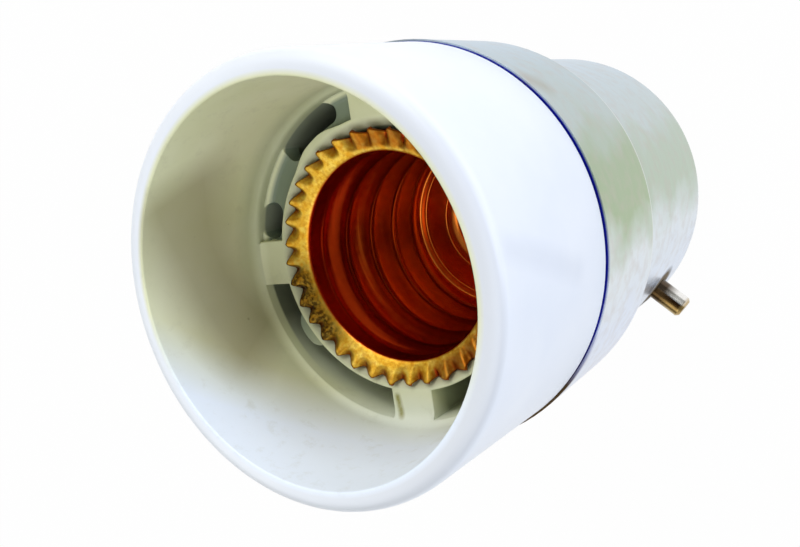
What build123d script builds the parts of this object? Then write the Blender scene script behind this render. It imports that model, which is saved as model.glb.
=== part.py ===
from build123d import *
from math import pi
import os

os.makedirs("parts", exist_ok=True)

# Bayonet to small screw lamp adapter, millimetres. The origin is on the contact plane of the bayonet end,
# Z runs along the axis and the mouth looks up. The bayonet pins lie along X, the two contacts along Y.

# Metal cap
sheet = 0.35
skirt_height = 8.7
tier_step = 1.2
shoulder_drop = 1.3
shoulder_round = 1.0
shoulder_fillet = 0.8
end_height = 1.0
end_round = 1.3
end_lip = 2.4

# Bayonet pins
pin_radius = 0.82
pin_height = 6.0
pin_length = 2.47
pin_chamfer = 0.2
pin_head_radius = 1.35
pin_head_thickness = 0.5
pin_shank_radius = 0.5
pin_shank_clearance = 0.04

# Shroud and mouth of the moulding
fit_gap = 0.02
seam_gap = 0.2
mouth_depth = 9.3
floor_rise = 2.25
shroud_wall = 1.33
shroud_taper = 0.35
wall_draft = 0.12
foot_setback = 0.14
foot_round = 0.12
rim_round = 1.0
floor_fillet = 0.9
floor_ledge = 0.31
spigot_height = 6.0

# Slotted floor and boss, angles from the rib that starts each quarter
channel_width = 1.75
boss_wall = 0.85
seat_depth = 0.3
seat_clearance = 0.3
boss_chamfer = 0.4
boss_floor = 1.6
chamber_height = 2.6
rib_width = 2.8
rib_turn = 41.0
web_depth = 0.6
web_thickness = 1.2
slot_width = 1.3
slot_start = 21.5
slot_sweep = 21.5
hole_start = 70.2
hole_sweep = 7.8
lug_turn = 32.0
lug_width = 2.4
lug_reach = 1.05
lug_depth = 1.85
lug_round = 0.6
lug_drop = 0.5
lug_height = 4.0

# Brass screw shell, its thread lies in the wall between the bore and the tube
bore_radius = 6.25
bore_round = 0.25
bore_lip = 0.1
shell_wall = 1.0
shell_clearance = 0.1
shell_length = 13.5
flange_overlap = 0.25
flange_rise = 0.7
flange_sheet = 0.35
flange_seat = 0.1
tooth_count = 36
tooth_turn = 6.9
tooth_depth = 0.5
tooth_tip = 0.16
foot_thickness = 0.5
foot_lip = 3.45
tab_width = 3.0
tab_thickness = 0.6
tab_tail = 1.7

# Sprung centre contact and its rivet
leaf_thickness = 0.4
leaf_width = 3.2
leaf_gap = 0.25
leaf_setback = 1.95
leaf_end = 1.2
leaf_bend = 1.1
leaf_rise = 2.2
crown_length = 2.2
crown_offset = 0.2
toe_length = 1.2
toe_drop = 0.7
leaf_corner = 0.5
rivet_radius = 0.6
rivet_hole_clearance = 0.2
rivet_head_radius = 1.0
rivet_head_height = 0.5

# Glass insulator, eyelets and solder pads of the bayonet end
glass_gap = 0.3
glass_stand = 0.45
glass_round = 0.4
contact_offset = 4.9
eyelet_radius = 2.6
eyelet_thickness = 0.45
eyelet_neck_radius = 0.9
eyelet_neck_length = 1.3
pad_height = 0.3
pad_radius = 2.4
pad_round = 0.2

# Leads, in the room between the glass and the tab
core_radius = 0.3
sleeve_radius = 0.7
lead_room = 4.25
lead_level = 2.0
lead_bend_share = 0.8
solder_radius = 0.9
solder_height = 1.0

# Levels that follow from the sizes above, from the contact plane up
eyelet_level = pad_height + eyelet_thickness
neck_level = eyelet_level + eyelet_neck_length
glass_under = end_height - glass_stand
glass_level = pin_height - pin_head_radius - glass_gap
lead_run_level = glass_level + lead_level
lead_bend = lead_bend_share * min(lead_level, lead_room - lead_level)
tab_level = glass_level + lead_room
boss_under = tab_level + tab_tail
rivet_tail_level = boss_under - rivet_head_height
boss_floor_level = boss_under + boss_floor
leaf_level = boss_floor_level + leaf_gap
rivet_head_level = leaf_level + leaf_thickness + leaf_gap
shell_foot_level = boss_floor_level + chamber_height
boss_level = shell_foot_level + shell_length
floor_level = boss_level + seat_depth
web_level = floor_level - web_depth
web_under = web_level - web_thickness
seam_level = floor_level - floor_rise
spigot_level = seam_level - spigot_height
cap_height = seam_level - seam_gap
shoulder_height = cap_height - skirt_height
rim_level = floor_level + mouth_depth

# Radii that follow, from the bore of the screw shell outwards
foot_opening_radius = bore_radius - foot_lip
tube_radius = bore_radius + shell_wall
tab_inner_radius = tube_radius - tab_thickness
boss_bore_radius = tube_radius + shell_clearance
flange_radius = boss_bore_radius + flange_overlap
seat_radius = flange_radius + seat_clearance
boss_radius = boss_bore_radius + boss_wall
channel_outer_radius = boss_radius + channel_width
slot_radius = channel_outer_radius - slot_width / 2
wall_foot_radius = channel_outer_radius + floor_ledge
rim_inner_radius = wall_foot_radius + wall_draft
rim_outer_radius = rim_inner_radius + shroud_wall
foot_outer_radius = rim_outer_radius + shroud_taper
skirt_radius = foot_outer_radius + foot_setback
spigot_radius = skirt_radius - sheet - fit_gap
cap_radius = skirt_radius - tier_step
cap_bore_radius = cap_radius - sheet
end_opening_radius = cap_radius - end_lip
pin_reach = cap_radius + pin_length
leaf_root = boss_bore_radius - leaf_setback
leaf_run = leaf_root - leaf_bend - crown_length / 2 - crown_offset

# Slots of the floor, seen along the axis: four quarters of a ring between the ribs
with BuildSketch() as ring_quarters:
    Circle(channel_outer_radius)
    Circle(boss_radius, mode=Mode.SUBTRACT)
    with PolarLocations(0, 2, start_angle=rib_turn, angular_range=180):
        Rectangle(3 * channel_outer_radius, rib_width, mode=Mode.SUBTRACT)

# The two quarters that are open right through, side by side
with BuildSketch() as open_quarters:
    with PolarLocations(0, 1, start_angle=rib_turn):
        Rectangle(2 * channel_outer_radius, channel_outer_radius, align=(Align.CENTER, Align.MIN))
    add(ring_quarters.sketch, mode=Mode.INTERSECT)

# White moulding: shroud, slotted floor, boss and spigot in one
with BuildPart() as body_moulding:
    with BuildSketch(Plane.XZ) as body_section:
        with BuildLine() as body_line:
            Polyline(
                (0, boss_under),
                (boss_radius, boss_under),
                (boss_radius, spigot_level),
                (spigot_radius, spigot_level),
                (spigot_radius, seam_level),
                (foot_outer_radius, seam_level),
                (rim_outer_radius, rim_level),
                (rim_inner_radius, rim_level),
                (wall_foot_radius, floor_level),
                (seat_radius, floor_level),
                (seat_radius, boss_level),
                (boss_bore_radius, boss_level),
                (boss_bore_radius, boss_floor_level),
                (0, boss_floor_level),
                close=True,
            )
        make_face()
        fillet(vertices().sort_by_distance((rim_outer_radius, rim_level))[0], rim_round)
        fillet(vertices().sort_by_distance((foot_outer_radius, seam_level))[0], foot_round)
        fillet(vertices().sort_by_distance((wall_foot_radius, floor_level))[0], floor_fillet)
        chamfer(vertices().sort_by_distance((boss_radius, boss_under))[0], boss_chamfer)
    revolve(axis=Axis.Z)
    with BuildSketch(Plane.XY.offset(web_level)):
        add(ring_quarters.sketch)
    extrude(amount=web_depth + floor_fillet, mode=Mode.SUBTRACT)
    with BuildSketch(Plane.XY.offset(spigot_level)):
        add(ring_quarters.sketch)
    extrude(amount=web_under - spigot_level, mode=Mode.SUBTRACT)
    with BuildSketch(Plane.XY.offset(web_under)):
        add(open_quarters.sketch)
    extrude(amount=web_thickness, mode=Mode.SUBTRACT)
    with BuildSketch(Plane.XY.offset(web_under)) as web_slots:
        with PolarLocations(0, 1, start_angle=rib_turn + 270):
            SlotArc(CenterArc((0, 0), slot_radius, slot_start, slot_sweep), slot_width)
            SlotArc(CenterArc((0, 0), slot_radius, hole_start, hole_sweep), slot_width)
            SlotArc(CenterArc((0, 0), slot_radius, -slot_start - slot_sweep, slot_sweep), slot_width)
            SlotArc(CenterArc((0, 0), slot_radius, -hole_start - hole_sweep, hole_sweep), slot_width)
    extrude(amount=web_thickness, mode=Mode.SUBTRACT)
    with BuildSketch(Plane.XY.offset(floor_level - lug_drop)) as lugs:
        lug_radius = boss_radius + lug_reach - lug_depth / 2
        with PolarLocations(lug_radius, 1, start_angle=rib_turn + lug_turn):
            RectangleRounded(lug_depth, lug_width, lug_round)
        with PolarLocations(lug_radius, 1, start_angle=rib_turn + 180 - lug_turn):
            RectangleRounded(lug_depth, lug_width, lug_round)
        Circle(boss_bore_radius, mode=Mode.SUBTRACT)
    extrude(amount=-lug_height)
    with BuildSketch(Plane.XY.offset(boss_under)) as floor_holes:
        with Locations((-boss_bore_radius, 0)):
            Rectangle(boss_bore_radius, tab_width + 2 * shell_clearance)
        Circle(boss_bore_radius, mode=Mode.INTERSECT)
        Circle(tab_inner_radius - shell_clearance, mode=Mode.SUBTRACT)
        with Locations((leaf_root, 0)):
            Circle(rivet_radius + fit_gap)
    extrude(amount=boss_floor, mode=Mode.SUBTRACT)

# Brass screw shell: dished and toothed flange, tube, inturned foot and solder tab
with BuildPart() as screw_shell:
    with BuildSketch(Plane.XZ) as shell_section:
        with BuildLine() as shell_line:
            Polyline(
                (foot_opening_radius, shell_foot_level),
                (tube_radius, shell_foot_level),
                (tube_radius, boss_level),
                (boss_bore_radius + flange_seat, boss_level),
                (flange_radius, boss_level + flange_rise - flange_sheet),
                (flange_radius, boss_level + flange_rise),
                (bore_radius, boss_level + bore_lip),
                (bore_radius, shell_foot_level + foot_thickness),
                (foot_opening_radius, shell_foot_level + foot_thickness),
                close=True,
            )
        make_face()
        fillet(vertices().sort_by_distance((bore_radius, boss_level + bore_lip))[0], bore_round)
    revolve(axis=Axis.Z)
    notch_half_width = (2 * pi * flange_radius / tooth_count - tooth_tip) / 2
    with BuildSketch(Plane.XY.offset(boss_level)) as notches:
        with PolarLocations(0, tooth_count, start_angle=tooth_turn):
            Polygon(
                (flange_radius - tooth_depth, 0),
                (flange_radius + tooth_depth, -2 * notch_half_width),
                (flange_radius + tooth_depth, 2 * notch_half_width),
                align=None,
            )
    extrude(amount=flange_rise, mode=Mode.SUBTRACT)
    with BuildSketch(Plane.XY.offset(tab_level)) as tab:
        with Locations((-tube_radius, 0)):
            Rectangle(tube_radius, tab_width)
        Circle(tube_radius, mode=Mode.INTERSECT)
        Circle(tab_inner_radius, mode=Mode.SUBTRACT)
    extrude(amount=shell_foot_level - tab_level)

# Sprung centre contact: a brass leaf bent up to a crown in the middle of the shell
with BuildPart() as centre_contact:
    with BuildSketch(Plane.XZ) as leaf_section:
        with BuildLine() as leaf_line:
            FilletPolyline(
                (leaf_root + leaf_end, leaf_level),
                (leaf_root - leaf_bend, leaf_level),
                (leaf_root - leaf_bend - leaf_run, leaf_level + leaf_rise),
                (leaf_root - leaf_bend - leaf_run - crown_length, leaf_level + leaf_rise),
                (leaf_root - leaf_bend - leaf_run - crown_length - toe_length, leaf_level + leaf_rise - toe_drop),
                radius=leaf_corner,
            )
            offset(amount=leaf_thickness, side=Side.RIGHT)
        make_face()
    extrude(amount=leaf_width / 2, both=True)
    with BuildSketch(Plane.XY.offset(leaf_level)) as leaf_hole:
        with Locations((leaf_root, 0)):
            Circle(rivet_radius + rivet_hole_clearance)
    extrude(amount=leaf_thickness, mode=Mode.SUBTRACT)

# Rivet that holds the leaf and carries the current through the boss floor
with BuildPart() as contact_rivet:
    with BuildSketch(Plane.XZ) as rivet_section:
        with BuildLine() as rivet_line:
            Polyline(
                (leaf_root, rivet_tail_level),
                (leaf_root + rivet_head_radius, rivet_tail_level),
                (leaf_root + rivet_head_radius, boss_under),
                (leaf_root + rivet_radius, boss_under),
                (leaf_root + rivet_radius, rivet_head_level),
                (leaf_root + rivet_head_radius, rivet_head_level),
                (leaf_root + rivet_head_radius, rivet_head_level + rivet_head_height / 2),
                (leaf_root + rivet_radius, rivet_head_level + rivet_head_height),
                (leaf_root, rivet_head_level + rivet_head_height),
                close=True,
            )
        make_face()
    revolve(axis=Axis((leaf_root, 0, 0), (0, 0, 1)))

# Bayonet cap: one drawn shell, skirt and narrow tier, turned in at the end
with BuildPart() as bayonet_cap:
    with BuildSketch(Plane.XZ) as cap_section:
        with BuildLine() as cap_line:
            FilletPolyline(
                (skirt_radius, cap_height),
                (skirt_radius, shoulder_height + shoulder_drop / 2),
                (cap_radius, shoulder_height - shoulder_drop / 2),
                (cap_radius, end_height),
                (end_opening_radius, end_height),
                radius=[shoulder_round, shoulder_fillet, end_round],
            )
            offset(amount=sheet, side=Side.RIGHT)
        make_face()
    revolve(axis=Axis.Z)
    with BuildSketch(Plane.YZ) as pin_holes:
        with Locations((0, pin_height)):
            Circle(pin_shank_radius + pin_shank_clearance)
    extrude(amount=skirt_radius, both=True, mode=Mode.SUBTRACT)

# Two bayonet pins, headed inside the cap
with BuildPart() as bayonet_pins:
    with BuildSketch(Plane.YZ.offset(cap_bore_radius - pin_head_thickness)) as pin_head:
        with Locations((0, pin_height)):
            Circle(pin_head_radius)
    extrude(amount=pin_head_thickness)
    with Locations((0, 0, pin_height)):
        Cylinder(cap_bore_radius - fit_gap, 4 * pin_head_radius, mode=Mode.INTERSECT)
    with BuildSketch(Plane.YZ.offset(cap_bore_radius - pin_head_thickness)) as pin_shank:
        with Locations((0, pin_height)):
            Circle(pin_shank_radius)
    extrude(amount=sheet + pin_head_thickness)
    with BuildSketch(Plane.YZ.offset(cap_radius)) as pin_nose:
        with Locations((0, pin_height)):
            Circle(pin_radius)
    extrude(amount=pin_reach - cap_radius)
    chamfer(faces().sort_by(Axis.X)[-1].edges(), pin_chamfer)
    mirror(about=Plane.YZ)

# Black glass that closes the end of the cap and insulates the contacts
with BuildPart() as cap_insulator:
    with BuildSketch(Plane.XZ) as glass_section:
        with BuildLine() as glass_line:
            Polyline(
                (0, glass_under),
                (end_opening_radius - fit_gap, glass_under),
                (end_opening_radius - fit_gap, end_height + sheet + fit_gap),
                (cap_bore_radius - fit_gap, end_height + sheet + fit_gap),
                (cap_bore_radius - fit_gap, glass_level),
                (0, glass_level),
                close=True,
            )
        make_face()
        corner = (cap_bore_radius - fit_gap, end_height + sheet + fit_gap)
        fillet(vertices().sort_by_distance(corner)[0], end_round - sheet)
        fillet(vertices().sort_by_distance((end_opening_radius - fit_gap, glass_under))[0], glass_round)
    revolve(axis=Axis.Z)
    with BuildSketch(Plane.XY.offset(glass_under)) as eyelet_seats:
        with GridLocations(0, 2 * contact_offset, 1, 2):
            Circle(eyelet_radius + fit_gap)
    extrude(amount=eyelet_level + fit_gap - glass_under, mode=Mode.SUBTRACT)
    with BuildSketch(Plane.XY.offset(glass_under)) as neck_seats:
        with GridLocations(0, 2 * contact_offset, 1, 2):
            Circle(eyelet_neck_radius + fit_gap)
    extrude(amount=neck_level + fit_gap - glass_under, mode=Mode.SUBTRACT)
    with BuildSketch(Plane.XY.offset(glass_under)) as wire_holes:
        with GridLocations(0, 2 * contact_offset, 1, 2):
            Circle(core_radius + fit_gap)
    extrude(amount=glass_level - glass_under, mode=Mode.SUBTRACT)

# Two brass eyelets in the glass
with BuildPart() as contact_plates:
    with BuildSketch(Plane.XY.offset(pad_height)) as eyelet_discs:
        with GridLocations(0, 2 * contact_offset, 1, 2):
            Circle(eyelet_radius)
    extrude(amount=eyelet_thickness)
    with BuildSketch(Plane.XY.offset(eyelet_level)) as eyelet_necks:
        with GridLocations(0, 2 * contact_offset, 1, 2):
            Circle(eyelet_neck_radius)
    extrude(amount=eyelet_neck_length)
    with BuildSketch(Plane.XY.offset(pad_height)) as eyelet_bores:
        with GridLocations(0, 2 * contact_offset, 1, 2):
            Circle(core_radius + fit_gap)
    extrude(amount=neck_level - pad_height, mode=Mode.SUBTRACT)

# Two flattened solder pads, which the part stands on
with BuildPart() as contact_solder:
    with BuildSketch() as pads:
        with GridLocations(0, 2 * contact_offset, 1, 2):
            Circle(pad_radius)
    extrude(amount=pad_height)
    fillet(edges().filter_by_position(Axis.Z, 0, 0), pad_round)

# Lead from the first eyelet to the tab of the screw shell
shell_lead_x = core_radius + fit_gap - tab_inner_radius
with BuildPart() as shell_lead_core:
    with BuildLine() as shell_route:
        FilletPolyline(
            (shell_lead_x, 0, boss_under - fit_gap),
            (shell_lead_x, 0, lead_run_level),
            (0, -contact_offset, lead_run_level),
            (0, -contact_offset, pad_height),
            radius=lead_bend,
        )
    with BuildSketch(Plane(origin=shell_route.line @ 0, z_dir=shell_route.line % 0)):
        Circle(core_radius)
    sweep()

with BuildPart() as shell_lead_sleeve:
    with BuildLine() as shell_sleeve_route:
        FilletPolyline(
            (shell_lead_x, 0, tab_level),
            (shell_lead_x, 0, lead_run_level),
            (0, -contact_offset, lead_run_level),
            (0, -contact_offset, glass_level),
            radius=lead_bend,
        )
    with BuildSketch(Plane(origin=shell_sleeve_route.line @ 0, z_dir=shell_sleeve_route.line % 0)):
        Circle(sleeve_radius)
        Circle(core_radius + fit_gap, mode=Mode.SUBTRACT)
    sweep()

# Lead from the second eyelet to the rivet
with BuildPart() as centre_lead_core:
    with BuildLine() as centre_route:
        FilletPolyline(
            (leaf_root, 0, rivet_tail_level),
            (leaf_root, 0, lead_run_level),
            (0, contact_offset, lead_run_level),
            (0, contact_offset, pad_height),
            radius=lead_bend,
        )
    with BuildSketch(Plane(origin=centre_route.line @ 0, z_dir=centre_route.line % 0)):
        Circle(core_radius)
    sweep()

with BuildPart() as centre_lead_sleeve:
    with BuildLine() as centre_sleeve_route:
        FilletPolyline(
            (leaf_root, 0, rivet_tail_level - solder_height),
            (leaf_root, 0, lead_run_level),
            (0, contact_offset, lead_run_level),
            (0, contact_offset, glass_level),
            radius=lead_bend,
        )
    with BuildSketch(Plane(origin=centre_sleeve_route.line @ 0, z_dir=centre_sleeve_route.line % 0)):
        Circle(sleeve_radius)
        Circle(core_radius + fit_gap, mode=Mode.SUBTRACT)
    sweep()

# Solder joints on the tab and on the rivet's tail
with BuildPart() as shell_solder:
    with Locations((shell_lead_x, 0, (boss_under + tab_level) / 2)):
        Sphere(min(solder_radius, tab_tail / 2 - fit_gap))
    add(screw_shell.part, mode=Mode.SUBTRACT)
    add(shell_lead_core.part, mode=Mode.SUBTRACT)

with BuildPart() as centre_solder:
    with Locations((leaf_root, 0, rivet_tail_level)):
        Cone(sleeve_radius, solder_radius, solder_height, align=(Align.CENTER, Align.CENTER, Align.MAX))
    add(centre_lead_core.part, mode=Mode.SUBTRACT)

body_moulding.part.label = "body_moulding"
screw_shell.part.label = "screw_shell"
centre_contact.part.label = "centre_contact"
contact_rivet.part.label = "contact_rivet"
bayonet_cap.part.label = "bayonet_cap"
bayonet_pins.part.label = "bayonet_pins"
cap_insulator.part.label = "cap_insulator"
contact_plates.part.label = "contact_plates"
contact_solder.part.label = "contact_solder"
shell_lead_core.part.label = "shell_lead_core"
shell_lead_sleeve.part.label = "shell_lead_sleeve"
centre_lead_core.part.label = "centre_lead_core"
centre_lead_sleeve.part.label = "centre_lead_sleeve"
shell_solder.part.label = "shell_solder"
centre_solder.part.label = "centre_solder"

export_step(body_moulding.part, "parts/body_moulding.step")
export_step(screw_shell.part, "parts/screw_shell.step")
export_step(centre_contact.part, "parts/centre_contact.step")
export_step(contact_rivet.part, "parts/contact_rivet.step")
export_step(bayonet_cap.part, "parts/bayonet_cap.step")
export_step(bayonet_pins.part, "parts/bayonet_pins.step")
export_step(cap_insulator.part, "parts/cap_insulator.step")
export_step(contact_plates.part, "parts/contact_plates.step")
export_step(contact_solder.part, "parts/contact_solder.step")
export_step(shell_lead_core.part, "parts/shell_lead_core.step")
export_step(shell_lead_sleeve.part, "parts/shell_lead_sleeve.step")
export_step(centre_lead_core.part, "parts/centre_lead_core.step")
export_step(centre_lead_sleeve.part, "parts/centre_lead_sleeve.step")
export_step(shell_solder.part, "parts/shell_solder.step")
export_step(centre_solder.part, "parts/centre_solder.step")

for piece in (body_moulding, screw_shell, centre_contact, contact_rivet, bayonet_cap, bayonet_pins, cap_insulator):
    print(piece.part.label, "volume", round(piece.part.volume, 1), "solids", len(piece.part.solids()))
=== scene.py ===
# %% [markdown]
# # Lamp socket adapter
# A small part with a lot of material in it: a white moulded shroud, a brass screw shell with a toothed
# flange in its mouth, and a two-tier metal bayonet cap with side pins. The solids come from the packed
# CAD frame, in metres. This lesson dresses them: it looks through the photograph's camera, lights a
# plain pale floor, and then takes the pieces one by one, first the shape and then the finish.

# %% Load the frame
import math
import random

import bmesh
import bpy
from mathutils import Matrix, Vector


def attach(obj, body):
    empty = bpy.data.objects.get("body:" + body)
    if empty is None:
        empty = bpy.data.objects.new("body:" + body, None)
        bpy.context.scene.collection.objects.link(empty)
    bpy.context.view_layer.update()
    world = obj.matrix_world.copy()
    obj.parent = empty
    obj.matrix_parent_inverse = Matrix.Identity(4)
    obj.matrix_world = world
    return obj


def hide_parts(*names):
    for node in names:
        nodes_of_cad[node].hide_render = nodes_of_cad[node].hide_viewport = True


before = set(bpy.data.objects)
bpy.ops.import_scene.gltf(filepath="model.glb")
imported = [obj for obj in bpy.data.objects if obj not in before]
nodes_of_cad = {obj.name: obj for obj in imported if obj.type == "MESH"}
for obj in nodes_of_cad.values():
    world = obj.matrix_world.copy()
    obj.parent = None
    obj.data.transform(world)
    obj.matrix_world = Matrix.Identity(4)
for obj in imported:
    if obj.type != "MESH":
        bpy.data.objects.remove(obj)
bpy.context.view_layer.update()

scene = bpy.context.scene
print("CAD nodes:", ", ".join(sorted(nodes_of_cad)))

# %% [markdown]
# ## Camera
# The view was found from the circles of the object itself: rim, seam, bore and cap are round and share
# one axis, so the ellipses that they make in the picture give the camera's place, its roll and its lens.
# The same camera is set here by its place and by its three axes in the object's own frame.

# %% Camera
MM = 0.001
view_right = Vector((-0.72361, -0.43701, -0.53423))
view_up = Vector((0.61407, -0.76102, -0.20922))
view_back = view_right.cross(view_up)
camera_data = bpy.data.cameras.new("camera")
camera_data.lens = 38.5
camera_data.sensor_width = 36.0
camera_data.sensor_fit = "HORIZONTAL"
camera_data.clip_start = 1 * MM
camera_data.clip_end = 20.0
camera = bpy.data.objects.new("camera", camera_data)
scene.collection.objects.link(camera)
stand = Matrix((view_right, view_up, view_back)).transposed().to_4x4()
stand.translation = Vector((-16.623, -23.260, 68.882)) * MM
camera.matrix_world = stand
scene.camera = camera
print("camera at", [round(c, 4) for c in stand.translation])

# %% [markdown]
# ## Colours and nodes
# Colours are written as the eye knows them, as sRGB hex values, and Blender's shaders want linear light,
# so one function converts them. A second one fills a node's inputs, with values or with the nodes that are
# wired to them, and a third adds a node of any kind. With these, a material reads like a recipe.


# %% Colour and node helpers
def linear(code):
    levels = [int(code[i:i + 2], 16) / 255 for i in (1, 3, 5)]
    return [c / 12.92 if c <= 0.04045 else ((c + 0.055) / 1.055) ** 2.4 for c in levels] + [1.0]


def fill(tree, node, inputs):
    """Wire a node or a socket to an input; write anything else on the input itself."""
    for name, value in inputs.items():
        if isinstance(value, bpy.types.Node):
            value = next(socket for socket in value.outputs if socket.enabled)
        if isinstance(value, bpy.types.NodeSocket):
            tree.links.new(value, node.inputs[name])
        else:
            node.inputs[name].default_value = value


def add_node(tree, kind, inputs=None, stops=None, **settings):
    node = tree.nodes.new("ShaderNode" + kind)
    for name, value in settings.items():
        setattr(node, name, value)
    fill(tree, node, inputs or {})
    for i, (place, code) in enumerate(stops or []):
        # A new ramp has a black and a white stop, and the first two colours take their places.
        element = node.color_ramp.elements[i] if i < 2 else node.color_ramp.elements.new(place)
        element.position = place
        element.color = linear(code)
    return node


def new_material(name):
    material = bpy.data.materials.new(name)
    material.use_nodes = True
    tree = material.node_tree
    tree.nodes.clear()
    shader = add_node(tree, "BsdfPrincipled")
    add_node(tree, "OutputMaterial", {"Surface": shader})
    place = add_node(tree, "TexCoord").outputs["Object"]
    return material, tree, shader, place


print("white plastic in linear light:", [round(c, 3) for c in linear("#e7ecf6")])

# %% [markdown]
# ## Floor and light
# The photograph has a pure white ground, so the floor shows white to the camera and to reflections, and
# stays a plain pale floor for all other light. A share of its real shading is kept, so that the shadow
# under the cap stays. Five soft panels and an even sky give studio light without hard edges.

# %% Floor
bpy.ops.mesh.primitive_plane_add(size=3.0)
floor = bpy.context.object
floor.name = "floor"
paper, tree, shader, place = new_material("matt white paper")
fill(tree, shader, {"Base Color": linear("#d8d8d8"), "Roughness": 0.9})
LIFT = 0.98
path = add_node(tree, "LightPath")
seen = add_node(tree, "Math", {0: path.outputs["Is Camera Ray"], 1: path.outputs["Is Glossy Ray"]},
                operation="MAXIMUM")
seen = add_node(tree, "Math", {0: seen, 1: path.outputs["Is Transmission Ray"]}, operation="MAXIMUM")
lift = add_node(tree, "Math", {0: seen, 1: LIFT}, operation="MULTIPLY")
glow = add_node(tree, "Emission", {"Color": linear("#ffffff"), "Strength": 1.0})
mixed = add_node(tree, "MixShader", {0: lift, 1: shader, 2: glow})
fill(tree, tree.nodes["Material Output"], {"Surface": mixed})
floor.data.materials.append(paper)
print("floor shows", LIFT, "white and the rest as lit")

# %% Lamps and sky
heart = Vector((0, 0, 22)) * MM


def soft_panel(name, right, up, back, distance, size, watts, tint):
    """A square panel, placed along the view's own directions from the middle of the object."""
    lamp = bpy.data.lights.new(name, "AREA")
    lamp.shape = "SQUARE"
    lamp.size = size
    lamp.energy = watts
    lamp.color = linear(tint)[:3]
    panel = bpy.data.objects.new(name, lamp)
    toward = (right * view_right + up * view_up + back * view_back).normalized()
    panel.location = heart + toward * distance
    panel.rotation_euler = toward.to_track_quat("Z", "Y").to_euler()
    scene.collection.objects.link(panel)


soft_panel("panel over the mouth", -0.34, 0.77, 0.55, 0.30, 0.20, 0.62, "#f6f7fa")
soft_panel("panel under the camera", -0.04, -0.62, 0.78, 0.32, 0.27, 0.36, "#f6f7f4")
soft_panel("low panel on the right", 0.70, 0.06, 0.71, 0.32, 0.14, 0.42, "#dde8ff")
soft_panel("low panel on the left", -0.74, -0.64, 0.22, 0.35, 0.20, 0.28, "#eff3f8")
soft_panel("small panel on the left", -0.74, 0.39, 0.55, 0.35, 0.14, 0.19, "#fbf8ee")
sky = bpy.data.worlds.new("studio sky")
scene.world = sky
sky.use_nodes = True
tree = sky.node_tree
air = tree.nodes["Background"]
fill(tree, air, {"Color": linear("#f1f2ea"), "Strength": 0.34})
# Past the edge of the floor the camera sees the same white.
backdrop = add_node(tree, "Background", {"Color": linear("#ffffff"), "Strength": 1.0})
path = add_node(tree, "LightPath")
mixed = add_node(tree, "MixShader", {0: path.outputs["Is Camera Ray"], 1: air, 2: backdrop})
fill(tree, tree.nodes["World Output"], {"Surface": mixed})

# %% [markdown]
# ## From bmesh to piece
# Every new piece is drawn in millimetres in a bmesh. One helper closes the work: it merges doubles, turns
# the faces outwards, scales the mesh to metres, shades it smooth up to a sharp edge, hangs it on the empty of
# the body that carries it, hides the CAD node that it stands for and gives it its materials.


# %% Piece helper
def make_piece(name, bm, materials, body="adapter", stands_for=None, sharp=40.0, facing=None):
    bmesh.ops.remove_doubles(bm, verts=bm.verts, dist=1e-4)
    bmesh.ops.recalc_face_normals(bm, faces=bm.faces)
    if facing and not facing(bm):
        bmesh.ops.reverse_faces(bm, faces=bm.faces)
    bmesh.ops.scale(bm, vec=(MM, MM, MM), verts=bm.verts)
    mesh = bpy.data.meshes.new(name)
    bm.to_mesh(mesh)
    bm.free()
    mesh.shade_smooth()
    mesh.set_sharp_from_angle(angle=math.radians(sharp))
    for material in materials:
        mesh.materials.append(material)
    piece = bpy.data.objects.new(name, mesh)
    scene.collection.objects.link(piece)
    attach(piece, body)
    if stands_for:
        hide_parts(stands_for)
    print(name, "faces", len(mesh.polygons))
    return piece


def draw_profile(bm, points):
    """A chain of edges in the XZ plane, from (radius, height) pairs, ready to be spun round Z."""
    chain = [bm.verts.new((r, 0, z)) for r, z in points]
    return chain, [bm.edges.new(pair) for pair in zip(chain, chain[1:])]


def spin_full(bm, chain, edges, steps):
    bmesh.ops.spin(bm, geom=chain + edges, cent=(0, 0, 0), axis=(0, 0, 1), angle=2 * math.pi, steps=steps,
                   use_merge=True)


def arc(cx, cz, radius, start, end, count):
    """Points on a rounded corner of a profile, angles in degrees."""
    turns = [math.radians(start + (end - start) * i / count) for i in range(count + 1)]
    return [(cx + radius * math.cos(t), cz + radius * math.sin(t)) for t in turns]


def smoothstep(low, high, x):
    t = min(max((x - low) / (high - low), 0.0), 1.0)
    return t * t * (3 - 2 * t)


# %% [markdown]
# ## Screw shell
# The brass shell is the showpiece: one pressing whose flange is dished, cut into 36 pointed teeth, and
# fluted where the tool ran inwards from each cut. Below it the sheet is rolled into a round thread, and
# at the bottom it is turned in to a stepped foot. A tube with its flange and foot is spun from one
# profile, and then vertices are moved: in along the edge for the cuts, down for the flutes, and out in a
# wave that climbs once a turn for the thread. That keeps one clean grid, which a Solidify modifier then
# gives the thickness of the sheet.

# %% Screw shell profile
BORE_R, TIP_R, ROOT_R = 6.12, 7.6, 7.34
LIP_Z, TIP_Z = 28.05, 28.68
FOOT_Z, FOOT_R = 15.0, 2.8
SHELL_STEPS, FLANGE_ROWS, WALL_ROWS = 540, 12, 44
SHEET = 0.28
DISH_R, DISH_Z = BORE_R + 0.165, LIP_Z + 0.07
flange = []
for i in range(FLANGE_ROWS + 1):
    t = 1 - i / FLANGE_ROWS
    flange.append((DISH_R + t * (TIP_R - DISH_R), DISH_Z + t * (TIP_Z - DISH_Z)))
lip = arc(BORE_R + 0.3, LIP_Z - 0.2, 0.3, 117, 180, 6)
wall_top, wall_foot = LIP_Z - 0.25, FOOT_Z + 0.55
wall = [(BORE_R, wall_top + (wall_foot - wall_top) * i / WALL_ROWS) for i in range(1, WALL_ROWS + 1)]
foot = arc(BORE_R - 0.25, FOOT_Z + 0.25, 0.25, 0, -90, 4)
STEP_RADII, STEP_DROP = (5.55, 3.95), 0.17
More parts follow.
